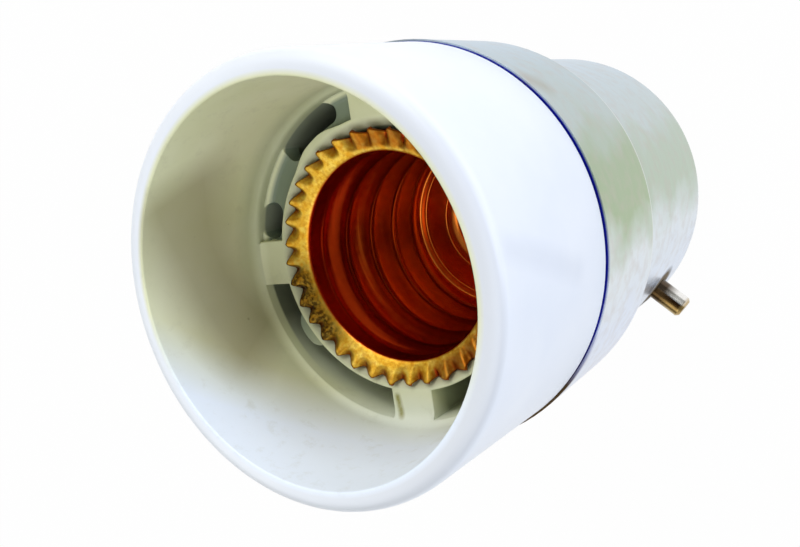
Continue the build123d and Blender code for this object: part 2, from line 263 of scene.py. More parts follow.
for i, step_r in enumerate(STEP_RADII):
    step_z = FOOT_Z - i * STEP_DROP
    foot += [(step_r + 0.15, step_z)] + arc(step_r, step_z - 0.1, 0.1, 90, 180, 3)
    foot += [(step_r - 0.12, step_z - STEP_DROP + 0.01), (step_r - 0.3, step_z - STEP_DROP)]
foot.append((FOOT_R, FOOT_Z - len(STEP_RADII) * STEP_DROP))
shell = bmesh.new()
chain, edges = draw_profile(shell, flange + lip[1:] + wall + foot)
spin_full(shell, chain, edges, SHELL_STEPS)
print("shell grid", len(shell.verts), "vertices")

# %% Teeth, flutes and thread
TEETH, TOOTH_TURN = 36, 1.9
ROOT_SHARE = 0.34
THREAD_PITCH, THREAD_DEPTH, THREAD_TOP, THREAD_START = 2.82, 0.78, 26.5, 26.85
draw = random.Random(11)
bites = [(draw.uniform(-0.8, 0.8), draw.uniform(-0.07, 0.05), draw.uniform(0.75, 1.15)) for _ in range(TEETH)]


def bite_at(turn):
    """How far from the bottom of the bite, 0, to a tooth tip, 1, with the radius and depth of these teeth."""
    pitch = 360 / TEETH
    index = math.floor((turn - TOOTH_TURN) / pitch) % TEETH
    left, right = bites[index], bites[(index + 1) % TEETH]
    start = TOOTH_TURN + index * pitch + left[0]
    end = TOOTH_TURN + (index + 1) * pitch + right[0]
    across = ((turn - start + 180) % 360 - 180) / (end - start)
    rise = 1 - across / ROOT_SHARE if across < ROOT_SHARE else (across - ROOT_SHARE) / (1 - ROOT_SHARE)
    blend = min(max(across, 0.0), 1.0)
    return min(rise, 1.0), [left[i] + (right[i] - left[i]) * blend for i in (1, 2)]


def between(turn, low, high, soft):
    """1 between two angles, fading out over soft degrees on both sides."""
    middle, half = (low + high) / 2, (high - low) / 2
    away = abs((turn - middle + 180) % 360 - 180)
    return smoothstep(half + soft, half - soft, away)


def out_of_round(turn):
    """The mouth of the shell has been squeezed and pushed a little to one side."""
    return 0.03 + 0.17 * math.cos(turn - 1.75) + 0.10 * math.cos(2 * turn + 0.55)


grime_and_shade = shell.verts.layers.float.new("grime_and_shade")
tarnish = shell.verts.layers.float.new("tarnish")
crest_shade = shell.verts.layers.float.new("crest_shade")
for v in shell.verts:
    r, z = math.hypot(v.co.x, v.co.y), v.co.z
    turn = math.atan2(v.co.y, v.co.x)
    degrees = math.degrees(turn) % 360
    if z > wall_top - 0.01:
        rise, (reach, depth) = bite_at(degrees)
        t = (r - DISH_R) / (TIP_R - DISH_R)
        tooth = max(rise, 0.0) ** 1.25
        far_side = between(degrees, 128, 332, 14)
        if t > 0:
            edge = ROOT_R - 0.06 * far_side + (TIP_R + reach - ROOT_R) * tooth
            r = DISH_R + t * (edge - DISH_R)
            z = DISH_Z + (r - DISH_R) / (TIP_R - DISH_R) * (TIP_Z - DISH_Z)
            flute = smoothstep(0.4 - 0.4 * far_side, 1.0, t)
            z -= depth * (0.46 + 0.06 * far_side) * (1 - smoothstep(0.0, 0.85, rise)) * flute
        # Brown in the flutes and a dark edge round the teeth are partly dirt and partly painted shade; two
        # stretches of the plateau are browned as well.
        in_groove = (1 - smoothstep(0.05, 0.8, rise)) * smoothstep(0.4 - 0.35 * far_side, 0.9, t)
        browned = max(between(degrees, 276, 326, 10), between(degrees, 146, 196, 9))
        browned *= smoothstep(-0.15, 0.35, t)
        sheared = max(0.2 * smoothstep(0.4, 0.9, t), smoothstep(0.95, 1.0, t))
        v[grime_and_shade] = max(sheared, 0.9 * in_groove, 0.8 * browned)
        v[tarnish] = between(degrees, 43, 88, 8) * smoothstep(-0.3, 0.3, t)
    elif z > FOOT_Z + 0.3:
        fade = smoothstep(THREAD_TOP + 0.5, THREAD_TOP - 0.7, z) * smoothstep(FOOT_Z + 0.3, FOOT_Z + 1.2, z)
        wave = 0.5 - 0.5 * math.cos(2 * math.pi * (z - THREAD_START) / THREAD_PITCH - turn)
        r += THREAD_DEPTH * fade * wave
        v[crest_shade] = fade * (1 - smoothstep(0.1, 0.6, wave))
    r += out_of_round(turn) * smoothstep(FOOT_Z + 6, LIP_Z, z)
    v.co = (r * math.cos(turn), r * math.sin(turn), z)
print("teeth", TEETH, "thread turns", round((THREAD_TOP - FOOT_Z) / THREAD_PITCH, 1))

# %% [markdown]
# ## Brass
# The shell is rolled from brass sheet and has aged in use. On the flange the metal is still golden, mottled
# by handling, with brown in the flutes and a dark sheared edge round the teeth, partly dirt and partly
# painted shade, and a blackened stretch where it lay in dirt. These marks follow the teeth and the thread, so
# three attributes were written to the mesh while it was shaped: grime and shade, tarnish, and painted shade
# along the thread. In the bore the light goes from wall to wall many times and loses green and blue each
# time, so the brass looks deep red there, and the material paints that light in with redder tones below the
# lip.

# %% Brass of the screw shell
# Rolled sheet has no direction to its shine on the flange, but the spun bore shows fine lines round it.
brass, tree, shader, place = new_material("rolled brass, tarnished")
parts = add_node(tree, "SeparateXYZ", {0: place})
mottle = add_node(tree, "TexNoise",
                  {"Vector": place, "Scale": 1 / (0.5 * MM), "Detail": 4.0, "Roughness": 0.6})
gold = add_node(tree, "ValToRGB", {0: mottle},
                stops=[(0.0, "#be7e1a"), (0.36, "#dfa52c"), (0.5, "#eec146"), (0.66, "#f6d562"),
                       (1.0, "#fce890")])
# A fine orange grain lies on it.
flecks = add_node(tree, "TexNoise", {"Vector": place, "Scale": 1 / (0.22 * MM), "Detail": 3.0})
grainy = add_node(tree, "MapRange", {0: flecks, 1: 0.42, 2: 0.64, 4: 0.55})
grained = add_node(tree, "Mix", {0: grainy, 6: gold, 7: linear("#c8801e")}, data_type="RGBA")
# Below the lip the brass is painted red for the light that bounces round the bore, more orange and lighter
# further down.
red = add_node(tree, "ValToRGB", {0: mottle},
               stops=[(0.0, "#a4300e"), (0.5, "#c03a12"), (1.0, "#d04a1a")])
deep_red = add_node(tree, "ValToRGB", {0: mottle},
                    stops=[(0.0, "#d0682a"), (0.5, "#e88030"), (1.0, "#f49642")])
deep = add_node(tree, "MapRange", {0: parts.outputs["Z"], 1: 24.6 * MM, 2: 19.6 * MM})
bore_painted_red = add_node(tree, "Mix", {0: deep, 6: red, 7: deep_red}, data_type="RGBA")
in_bore = add_node(tree, "MapRange", {0: parts.outputs["Z"], 1: 28.12 * MM, 2: 28.02 * MM})
clean = add_node(tree, "Mix", {0: in_bore, 6: grained, 7: bore_painted_red}, data_type="RGBA")
print("gold on the flange, red in the bore:", len(tree.nodes), "nodes")

# %% Grime, painted shade and tarnish on the brass
grime_and_shade_there = add_node(tree, "Attribute", attribute_name="grime_and_shade")
grime_and_shade_share = add_node(tree, "Math", {0: grime_and_shade_there.outputs["Fac"], 1: 0.9}, operation="MULTIPLY")
in_flutes = add_node(tree, "Mix", {0: grime_and_shade_share, 6: clean, 7: linear("#862c06")}, data_type="RGBA")
tarnish_there = add_node(tree, "Attribute", attribute_name="tarnish")
patchy = add_node(tree, "MapRange", {0: flecks, 1: 0.66, 2: 0.42, 3: 0.35, 4: 0.92})
tarnish_share = add_node(tree, "Math", {0: tarnish_there.outputs["Fac"], 1: patchy}, operation="MULTIPLY")
aged = add_node(tree, "Mix", {0: tarnish_share, 6: in_flutes, 7: linear("#34180a")}, data_type="RGBA")
# Painted shade darkens the thread along one part of each turn.
crest_shade_there = add_node(tree, "Attribute", attribute_name="crest_shade")
crest_shade_share = add_node(tree, "Math", {0: crest_shade_there.outputs["Fac"], 1: 0.46}, operation="MULTIPLY")
painted_light_mixed = add_node(tree, "Mix", {0: crest_shade_share, 6: aged, 7: linear("#3a1206")}, data_type="RGBA")
fill(tree, shader, {"Base Color": painted_light_mixed, "Metallic": 1.0})
print("with grime, tarnish and crest:", len(tree.nodes), "nodes")

# %% Shine of the brass
flange_rough = add_node(tree, "MapRange", {0: mottle, 3: 0.32, 4: 0.52})
bore_rough = add_node(tree, "MapRange", {0: mottle, 3: 0.18, 4: 0.30})
rough = add_node(tree, "Mix", {0: in_bore, 2: flange_rough, 3: bore_rough})
fill(tree, shader, {"Roughness": rough})
# Spinning lines lie about 0.05 mm apart in the bore; drawn at 0.2 mm, or they would not show.
round_the_bore = add_node(tree, "Mapping", {"Vector": place, "Scale": (90, 90, 1 / (0.2 * MM))})
spun = add_node(tree, "TexNoise", {"Vector": round_the_bore, "Scale": 1.0, "Detail": 2.0})
lines = add_node(tree, "Math", {0: spun, 1: in_bore}, operation="MULTIPLY")
spinning = add_node(tree, "Bump", {"Height": lines, "Strength": 0.25, "Distance": 0.03 * MM})
# Handling marks are a few hundredths of a millimetre; drawn a little coarser, or they would not show.
handled = add_node(tree, "Mix", {0: in_bore, 2: flecks, 3: 0.5})
dents = add_node(tree, "Bump",
                 {"Height": handled, "Strength": 0.3, "Distance": 0.03 * MM, "Normal": spinning})
fill(tree, shader, {"Normal": dents})
print(brass.name, "with", len(tree.nodes), "nodes")

# %% [markdown]
# ## Shell and tab
# The grid now becomes a piece, and Solidify gives it the thickness of the sheet, away from the bore. The tab
# that takes the solder goes down from the foot. It is a plain bevelled strip, so a scaled cube is enough.

# %% Screw shell piece
def shell_faces_the_axis(bm):
    wall_face = min(bm.faces, key=lambda f: abs(f.calc_center_median().z - 27.2))
    middle = wall_face.calc_center_median()
    return wall_face.normal.dot(Vector((-middle.x, -middle.y, 0))) > 0


screw_shell = make_piece("screw_shell_brass", shell, [brass], stands_for="screw_shell",
                         sharp=60, facing=shell_faces_the_axis)
sheet = screw_shell.modifiers.new("sheet", "SOLIDIFY")
sheet.thickness = SHEET * MM
sheet.offset = -1.0

# %% Solder tab
TAB_WIDTH, TAB_SHEET, TAB_X = 3.0, 0.6, -6.95
TAB_LOW_Z, TAB_TOP_Z = 8.6, FOOT_Z - 0.4
tab = bmesh.new()
bmesh.ops.create_cube(tab, size=1.0)
bmesh.ops.scale(tab, vec=(TAB_SHEET, TAB_WIDTH, TAB_TOP_Z - TAB_LOW_Z), verts=tab.verts)
bmesh.ops.translate(tab, vec=(TAB_X, 0, (TAB_TOP_Z + TAB_LOW_Z) / 2), verts=tab.verts)
bmesh.ops.bevel(tab, geom=tab.edges[:], offset=0.1, affect="EDGES", segments=3, profile=0.5, material=-1)
make_piece("screw_shell_tab", tab, [brass])

# %% [markdown]
# ## White moulding
# The shroud, its slotted floor, the boss round the shell and the spigot in the cap are one moulding. Its
# section is spun first, in steps of a degree. The floor between the boss and the wall is then worked face
# by face: two quarters are cut right through, and two are pressed down to a thin web with a long and a
# short slot. Cutting faces out of a spun grid keeps the mesh clean, where a boolean would leave long thin
# triangles, and the wall of every hole comes from bridging its upper and lower edges.

# %% Moulding profile
RIM_Z, FLOOR_Z, SEAT_Z, SEAM_Z = 37.6, 28.3, 28.0, 26.05
SPIGOT_Z, BOSS_UNDER_Z, BOSS_FLOOR_Z = 20.05, 10.3, 11.9
WEB_Z, WEB_UNDER_Z = 27.7, 26.5
BOSS_R, RING_R, SEAT_R, BOSS_BORE_R, TAB_HOLE_R = 8.2, 9.95, 7.9, 7.35, 6.55
SPIGOT_R, SHROUD_FOOT_R, RIM_R, RIM_BORE_R, WALL_FOOT_R = 11.83, 12.06, 11.71, 10.38, 10.26
RIM_ROUND, RIM_FULLNESS, FOOT_ROUND, FLOOR_FILLET = 1.0, 2.8, 0.12, 0.9
RING_ROWS = 14
ring_radii = [RING_R + (BOSS_R - RING_R) * i / RING_ROWS for i in range(1, RING_ROWS)]
under = [(r, BOSS_UNDER_Z) for r in (0, TAB_HOLE_R, BOSS_BORE_R, BOSS_R - 0.4)]
under += [(BOSS_R, BOSS_UNDER_Z + 0.4), (BOSS_R, SPIGOT_Z)]
under += [(r, SPIGOT_Z) for r in reversed(ring_radii)] + [(RING_R, SPIGOT_Z)]
outside = [(SPIGOT_R, SPIGOT_Z), (SPIGOT_R, SEAM_Z)]
outside += arc(SHROUD_FOOT_R - FOOT_ROUND, SEAM_Z + FOOT_ROUND, FOOT_ROUND, -90, 0, 4)
for r, z in arc(0, 0, 1.0, 2, 90, 14):
    # A fuller curve than a quarter circle: nearly flat on top, with a tighter corner.
    fuller = (abs(r) ** RIM_FULLNESS + abs(z) ** RIM_FULLNESS) ** (-1 / RIM_FULLNESS) * RIM_ROUND
    outside.append((RIM_R - RIM_ROUND + r * fuller, RIM_Z - RIM_ROUND + z * fuller))
inside = arc(RIM_BORE_R + 0.1, RIM_Z - 0.1, 0.1, 90, 180, 4)
fillet_r, fillet_z = WALL_FOOT_R - FLOOR_FILLET, FLOOR_Z + FLOOR_FILLET
ring_turn = math.degrees(math.acos((RING_R - fillet_r) / FLOOR_FILLET))
inside += arc(fillet_r, fillet_z, FLOOR_FILLET, 0, -ring_turn, 4)


def floor_height(r):
    """The floor runs up to the wall in a fillet."""
    return fillet_z - math.sqrt(FLOOR_FILLET ** 2 - max(0.0, r - fillet_r) ** 2)


LEDGE_R, LEDGE_Z = 6.9, 27.5
seat = [(r, floor_height(r)) for r in ring_radii + [BOSS_R]]
seat += [(SEAT_R + 0.12, FLOOR_Z), (SEAT_R, FLOOR_Z - 0.04), (BOSS_BORE_R + 0.2, SEAT_Z - 0.06)]
seat += [(BOSS_BORE_R - 0.1, LEDGE_Z), (LEDGE_R, LEDGE_Z), (LEDGE_R, LEDGE_Z - 0.3)]
seat += [(BOSS_BORE_R, LEDGE_Z - 0.75)]
seat += [(BOSS_BORE_R, BOSS_FLOOR_Z), (TAB_HOLE_R, BOSS_FLOOR_Z)]
mould = bmesh.new()
chain, edges = draw_profile(mould, under + outside + inside + seat + [(0, BOSS_FLOOR_Z)])
spin_full(mould, chain, edges, 360)
bmesh.ops.remove_doubles(mould, verts=mould.verts, dist=1e-4)
print("moulding grid", len(mould.faces), "faces")

# %% Ribs with parallel sides
RIBS = (41, 131, 221, 311)
RIB_HALF, RIB_EDGE, RIB_CALM = 1.4, 9, 20


def polar(point):
    return math.hypot(point.x, point.y), math.degrees(math.atan2(point.y, point.x)) % 360


def from_rib(turn):
    """Signed angle from the nearest rib."""
    return min(((turn - rib + 180) % 360 - 180 for rib in RIBS), key=abs)


def in_ring(face, level):
    r, turn = polar(face.calc_center_median())
    on_level = all(abs(v.co.z - level) < 0.3 for v in face.verts)
    return on_level and BOSS_R < r < RING_R and abs(from_rib(turn)) > RIB_EDGE


def quarter_of(face):
    return int((polar(face.calc_center_median())[1] - RIBS[0]) % 360 // 90)


quarters = [([], []) for rib in RIBS]
for face in mould.faces:
    for side, level in enumerate((FLOOR_Z, SPIGOT_Z)):
        if in_ring(face, level):
            quarters[quarter_of(face)][side].append(face)
for v in mould.verts:
    r, turn = polar(v.co)
    away = from_rib(turn)
    level = abs(v.co.z - FLOOR_Z) < 0.3 or abs(v.co.z - SPIGOT_Z) < 0.01
    if level and BOSS_R - 0.01 < r < RING_R + 0.01 and 0 < abs(away) < RIB_CALM:
        share = min(abs(away) / RIB_EDGE, (RIB_CALM - abs(away)) / (RIB_CALM - RIB_EDGE))
        shift = (math.degrees(math.asin(RIB_HALF / r)) - RIB_EDGE) * share
        turned = math.radians(turn + math.copysign(1, away) * shift)
        v.co.x, v.co.y = r * math.cos(turned), r * math.sin(turned)
print("floor faces in each quarter", [len(top) for top, low in quarters])

# %% Open quarters, lugs and the tab's hole
def rim_edges(faces):
    """Edges round a patch of faces."""
    patch = set(faces)
    return [e for e in {e for f in faces for e in f.edges} if any(f not in patch for f in e.link_faces)]


def cut_through(top, low):
    """Remove two patches of faces, one over the other, and close the hole's wall between them."""
    border = rim_edges(top) + rim_edges(low)
    bmesh.ops.delete(mould, geom=top + low, context="FACES")
    return bmesh.ops.bridge_loops(mould, edges=border)["faces"]


def pull(faces):
    """Extrude a patch; with its edges in the list, the old faces go and leave no floor inside."""
    region = faces + list({e for f in faces for e in f.edges})
    made = bmesh.ops.extrude_face_region(mould, geom=region)["geom"]
    return [[g for g in made if isinstance(g, kind)] for kind in (bmesh.types.BMVert, bmesh.types.BMFace)]


LUG_TOP_Z, LUG_FOOT_Z, LUG_REACH, LUG_HALF = FLOOR_Z - 0.56, FLOOR_Z - 4.5, 1.05, 8.6
LUG_TURNS = (73, 189)
boss_walls = []
for top, low in quarters[:2]:
    walls = cut_through(top, low)
    boss_walls += [f for f in walls if all(abs(polar(v.co)[0] - BOSS_R) < 0.01 for v in f.verts)]
for height in (LUG_TOP_Z, LUG_FOOT_Z):
    cut = {e for f in boss_walls for e in f.edges} | {v for f in boss_walls for v in f.verts}
    cut = boss_walls + list(cut)
    made = bmesh.ops.bisect_plane(mould, geom=cut, plane_co=(0, 0, height), plane_no=(0, 0, 1))["geom"]
    boss_walls = [g for g in made if isinstance(g, bmesh.types.BMFace)]
for lug_turn in LUG_TURNS:
    patch = []
    for f in filter(lambda face: face.is_valid, boss_walls):
        middle = f.calc_center_median()
        if abs(polar(middle)[1] - lug_turn) < LUG_HALF and LUG_FOOT_Z < middle.z < LUG_TOP_Z:
            patch.append(f)
    for v in pull(patch)[0]:
        turn = polar(v.co)[1]
        across = (turn - lug_turn) / LUG_HALF
        r = BOSS_R + LUG_REACH * (1 - 0.42 * abs(across) ** 3)
        turned = math.radians(lug_turn + (turn - lug_turn) * 0.86)
        v.co.x, v.co.y = r * math.cos(turned), r * math.sin(turned)
tab_hole = []
for level in (BOSS_FLOOR_Z, BOSS_UNDER_Z):
    patch = []
    for f in mould.faces:
        middle = f.calc_center_median()
        r, turn = polar(middle)
        if TAB_HOLE_R < r < BOSS_BORE_R and abs(turn - 180) < 13 and abs(middle.z - level) < 0.01:
            patch.append(f)
    tab_hole.append(patch)
cut_through(*tab_hole)
print("lugs", len(LUG_TURNS), "tab hole faces", [len(patch) for patch in tab_hole])

# %% Webs and slots
SLOT_HALF = 0.65
SLOT_R = RING_R - SLOT_HALF
SLOTS = [(332.5, 354.0), (21.2, 27.8), (268.0, 289.5), (234.2, 240.8)]


def slot_reach(point, start, end):
    """Distance from a slot's middle line, and the point of that line which it is measured from."""
    span = (end - start) % 360
    along = min(max((polar(point)[1] - start + 90) % 360 - 90, 0.0), span)
    a = math.radians(start + along)
    middle = Vector((SLOT_R * math.cos(a), SLOT_R * math.sin(a), point.z))
    return (point - middle).length, middle


webs = []
for side, level in enumerate((WEB_Z, WEB_UNDER_Z)):
    moved, web = pull(quarters[2][side] + quarters[3][side])
    for v in moved:
        v.co.z = level + 0.35 * smoothstep(RING_R - 0.5, RING_R, polar(v.co)[0]) * (1 - side)
    webs.append(web)
for start, end in SLOTS:
    holes = []
    for web in webs:
        holes.append([f for f in web if slot_reach(f.calc_center_median(), start, end)[0] < SLOT_HALF])
    for v in {v for patch in holes for e in rim_edges(patch) for v in e.verts}:
        distance, middle = slot_reach(v.co, start, end)
        v.co = middle + (v.co - middle) * (SLOT_HALF / distance)
    cut_through(*holes)
    webs = [[f for f in web if f.is_valid] for web in webs]
SLOT_IN, BULGE = SLOT_R - SLOT_HALF, 0.3
for v in mould.verts:
    # The boss is thicker beside the long slots and nearly meets their edge.
    r, turn = polar(v.co)
    if BOSS_R - 0.01 < r < SLOT_IN and v.co.z > WEB_UNDER_Z - 0.01:
        beside = max(between(turn, start, end, 7) for start, end in SLOTS if end - start > 10)
        swell = 1 + BULGE * beside * (SLOT_IN - r) / (SLOT_IN - BOSS_R) / r
        v.co.x, v.co.y = v.co.x * swell, v.co.y * swell
print("open or doubled edges in the moulding", sum(not e.is_manifold for e in mould.edges))

# %% Soft edges
bmesh.ops.recalc_face_normals(mould, faces=mould.faces)


def floor_edges(low_r, high_r, quarter_wanted):
    """Outer corners of the floor's cuts, between two radii."""
    found = []
    for e in mould.edges:
        middle = (e.verts[0].co + e.verts[1].co) / 2
        r, turn = polar(middle)
        on_floor = FLOOR_Z - 0.05 < middle.z < FLOOR_Z + 0.4 and low_r < r < high_r
        if on_floor and e.calc_face_angle_signed(0) > 0.5:
            if quarter_wanted(int((turn - RIBS[0]) % 360 // 90)):
                found.append(e)
    return found


WEB_EDGE, CUT_EDGE = 0.17, 0.06
for offset, low_r, high_r, wanted in ((WEB_EDGE, RING_R - 0.02, RING_R + 0.02, lambda q: q > 1),
                                      (CUT_EDGE, BOSS_R - 0.02, RING_R + 0.02, lambda q: True)):
    soft = floor_edges(low_r, high_r, wanted)
    bmesh.ops.bevel(mould, geom=soft, offset=offset, affect="EDGES", segments=3, profile=0.5, material=-1)
    print("rounded", len(soft), "edges by", offset, "mm")

# %% [markdown]
# ## White plastic
# The moulding is a white thermoplastic, polished outside by the tool and left matt inside. It is not new:
# the inside has gone ivory and holds dust in its channels, and on top of that it is painted with light and
# shade: a lit white on one side, a slanting shadow of the rim, a greyer rim top, and darker channels and
# corners. It also shows small dark specks and rubbed patches, while the outside is a cool, clean white. One
# material carries all of that, because it is one piece: the distance from the axis tells inside from outside,
# the height finds the channels and the seam, and lines and directions in the object's own frame place the
# single marks.

# %% White plastic, colour by place
# Polish gives the eye a clean cool white with a soft sheen; the matt inside looks chalky and warmer.
plastic, tree, shader, place = new_material("moulded white plastic, polished outside and matt inside")
parts = add_node(tree, "SeparateXYZ", {0: place})
in_plan = add_node(tree, "VectorMath", {0: place, 1: (1, 1, 0)}, operation="MULTIPLY")
radius = add_node(tree, "VectorMath", {0: in_plan}, operation="LENGTH")
inner = add_node(tree, "MapRange", {0: radius, 1: 10.75 * MM, 2: 10.45 * MM})
cloud = add_node(tree, "TexNoise", {"Vector": place, "Scale": 1 / (5 * MM), "Detail": 3.0})
cool_white = add_node(tree, "ValToRGB", {0: cloud}, stops=[(0.35, "#e7ecf6"), (0.65, "#ecf0f8")])
ivory = add_node(tree, "ValToRGB", {0: cloud}, stops=[(0.3, "#d8dab2"), (0.7, "#e3e4c4")])
# The inner wall is ivory, partly as yellowing and partly as painted shade, and one side is painted a lit
# bluish white, with a slanting border.
BRIGHT_SIDE = Vector((-0.628, 0.778, 0.0))
toward_bright = add_node(tree, "VectorMath", {0: place, 1: BRIGHT_SIDE}, operation="DOT_PRODUCT")
higher = add_node(tree, "Math", {0: parts.outputs["Z"], 1: 0.75, 2: toward_bright},
                  operation="MULTIPLY_ADD")
painted_light_share = add_node(tree, "MapRange", {0: higher, 1: 29.5 * MM, 2: 34.0 * MM, 4: 0.97})
inner_painted_light = add_node(tree, "Mix", {0: painted_light_share, 6: ivory, 7: linear("#e7f0ff")}, data_type="RGBA")


def near_line(start, end, near, far, fade, share):
    """A share, full near the line between two points in mm, that fades to its sides and past its ends."""
    line = (end - start).normalized()
    from_middle = add_node(tree, "VectorMath", {0: place, 1: (start + end) / 2 * MM}, operation="SUBTRACT")
    across = add_node(tree, "VectorMath", {0: from_middle, 1: line}, operation="CROSS_PRODUCT")
    aside = add_node(tree, "VectorMath", {0: across}, operation="LENGTH")
    close = add_node(tree, "MapRange", {0: aside, 1: far * MM, 2: near * MM, 4: share})
    along = add_node(tree, "VectorMath", {0: from_middle, 1: line}, operation="DOT_PRODUCT")
    past = add_node(tree, "Math", {0: along}, operation="ABSOLUTE")
    half = (end - start).length / 2
    ends = add_node(tree, "MapRange", {0: past, 1: (half + fade) * MM, 2: half * MM})
    return add_node(tree, "Math", {0: close, 1: ends}, operation="MULTIPLY")


# A painted shadow of the rim lies in a slanting band across the ivory side.
painted_rim_shadow = near_line(Vector((10.1, 1.8, 35.2)), Vector((4.2, 9.4, 30.8)), 1.7, 4.6, 2.0, 0.52)
inner_with_painted_shadow = add_node(tree, "Mix", {0: painted_rim_shadow, 6: inner_painted_light, 7: linear("#72622c")},
                       data_type="RGBA")
# The top of the rim is darkened with painted shade, greyest on one side.
rim_top = add_node(tree, "MapRange", {0: parts.outputs["Z"], 1: 37.1 * MM, 2: 37.4 * MM})
rim_shade_side = add_node(tree, "VectorMath", {0: place, 1: (-0.857, -0.515, 0.0)}, operation="DOT_PRODUCT")
rim_shade_by_side = add_node(tree, "MapRange", {0: rim_shade_side, 1: -5.0 * MM, 2: 8.0 * MM, 3: 0.05, 4: 1.0})
rim_shade_share = add_node(tree, "Math", {0: rim_top, 1: rim_shade_by_side}, operation="MULTIPLY")
outer_white = add_node(tree, "Mix", {0: rim_shade_share, 6: cool_white, 7: linear("#d6dae3")}, data_type="RGBA")
white = add_node(tree, "Mix", {0: inner, 6: outer_white, 7: inner_with_painted_shadow}, data_type="RGBA")
print("white, ivory and rim:", len(tree.nodes), "nodes")

# %% White plastic, painted shade, dust and rubbed patches
# Painted shade and dust darken the channels with depth, quickly on one side and slowly down the walls on the
# bright side.
web_dust_and_shade = add_node(tree, "MapRange", {0: parts.outputs["Z"], 1: 27.94 * MM, 2: 27.76 * MM, 4: 0.82})
wall_dust_and_shade = add_node(tree, "MapRange", {0: parts.outputs["Z"], 1: 28.3 * MM, 2: 26.6 * MM, 4: 0.5})
dust_and_shade_side = add_node(tree, "MapRange", {0: toward_bright, 1: 3.8 * MM, 2: 7.8 * MM})
on_wall = add_node(tree, "MapRange", {0: radius, 1: 9.85 * MM, 2: 9.93 * MM})
channel_dust_and_shade = add_node(tree, "Mix", {0: dust_and_shade_side, 2: web_dust_and_shade, 3: wall_dust_and_shade})
channel_dust_and_shade_inside = add_node(tree, "Math", {0: channel_dust_and_shade, 1: inner}, operation="MULTIPLY")
# The painted shade on the channel walls changes round the axis: pale in the webs' slots, darkest beside the
# left rib, pale by the lower rib.
wall_place = add_node(tree, "MapRange", {0: toward_bright, 1: -10 * MM, 2: 10 * MM})
wall_shade_tone = add_node(tree, "ValToRGB", {0: wall_place},
                     stops=[(0.4, "#8f958a"), (0.5, "#3e4136"), (0.69, "#3e4136"), (0.89, "#b2bab0")])
dust_and_shade_tone = add_node(tree, "Mix", {0: on_wall, 6: linear("#5e7268"), 7: wall_shade_tone}, data_type="RGBA")
dusted_and_shaded = add_node(tree, "Mix", {0: channel_dust_and_shade_inside, 6: white, 7: dust_and_shade_tone}, data_type="RGBA")
# On the shaded side, the foot of the wall is darkened with painted shade.
foot_shade_side = add_node(tree, "MapRange", {0: toward_bright, 1: 4.5 * MM, 2: -1.0 * MM, 4: 0.34})
foot_shade = add_node(tree, "MapRange", {0: parts.outputs["Z"], 1: 30.4 * MM, 2: 28.4 * MM, 4: foot_shade_side})
foot_shade_share = add_node(tree, "Math", {0: foot_shade, 1: on_wall}, operation="MULTIPLY")
foot_shade_inside = add_node(tree, "Math", {0: foot_shade_share, 1: inner}, operation="MULTIPLY")
foot_shaded = add_node(tree, "Mix", {0: foot_shade_inside, 6: dusted_and_shaded, 7: linear("#5a6654")}, data_type="RGBA")
# Under and between the teeth the seat is darkened with painted shade and dirt.
seat_shade_and_dirt = add_node(tree, "MapRange", {0: radius, 1: 8.1 * MM, 2: 7.7 * MM, 4: 0.5})
seat_shaded = add_node(tree, "Mix", {0: seat_shade_and_dirt, 6: foot_shaded, 7: linear("#6e6b4c")}, data_type="RGBA")
rub = add_node(tree, "TexNoise", {"Vector": place, "Scale": 1 / (1.1 * MM), "Detail": 5.0, "Roughness": 0.7})
rub_there = add_node(tree, "MapRange", {0: rub, 1: 0.55, 2: 0.75, 4: 0.22})
rub_inside = add_node(tree, "Math", {0: rub_there, 1: inner}, operation="MULTIPLY")
rubbed = add_node(tree, "Mix", {0: rub_inside, 6: seat_shaded, 7: linear("#aaa78d")}, data_type="RGBA")
print("with dust and rubbing:", len(tree.nodes), "nodes")

# %% White plastic, specks, grease and a drag mark
# Specks a tenth to a fifth of a millimetre across, one to a cell of 2 mm, and only in some cells inside.
cells = add_node(tree, "TexVoronoi", {"Vector": place, "Scale": 1 / (2.0 * MM)})
speck_dot = add_node(tree, "MapRange", {0: cells, 1: 0.055, 2: 0.03})
cell_draw = add_node(tree, "SeparateColor", {0: cells.outputs["Color"]})
speck_cell = add_node(tree, "MapRange", {0: cell_draw.outputs[0], 1: 0.55, 2: 0.95})
speck = add_node(tree, "Math", {0: speck_dot, 1: speck_cell}, operation="MULTIPLY")
speck_inside = add_node(tree, "Math", {0: speck, 1: inner}, operation="MULTIPLY")
specked = add_node(tree, "Mix", {0: speck_inside, 6: rubbed, 7: linear("#5c5544")}, data_type="RGBA")
# A thread of old grease lies along the lower rib.
thread = near_line(Vector((-4.81, 7.13, 28.3)), Vector((-6.23, 8.39, 28.3)), 0.06, 0.3, 0.3, 1.6)
grease = add_node(tree, "Math", {0: thread, 1: rub}, operation="MULTIPLY", use_clamp=True)
greased = add_node(tree, "Mix", {0: grease, 6: specked, 7: linear("#8f8a3c")}, data_type="RGBA")
# A faint grey mark was dragged down the outside.
mark = near_line(Vector((-7.96, -8.84, 36.5)), Vector((-9.59, -7.04, 29.7)), 0.2, 1.0, 1.0, 0.16)
marked = add_node(tree, "Mix", {0: mark, 6: greased, 7: linear("#b4bccb")}, data_type="RGBA")
print("with specks, grease and a mark:", len(tree.nodes), "nodes")

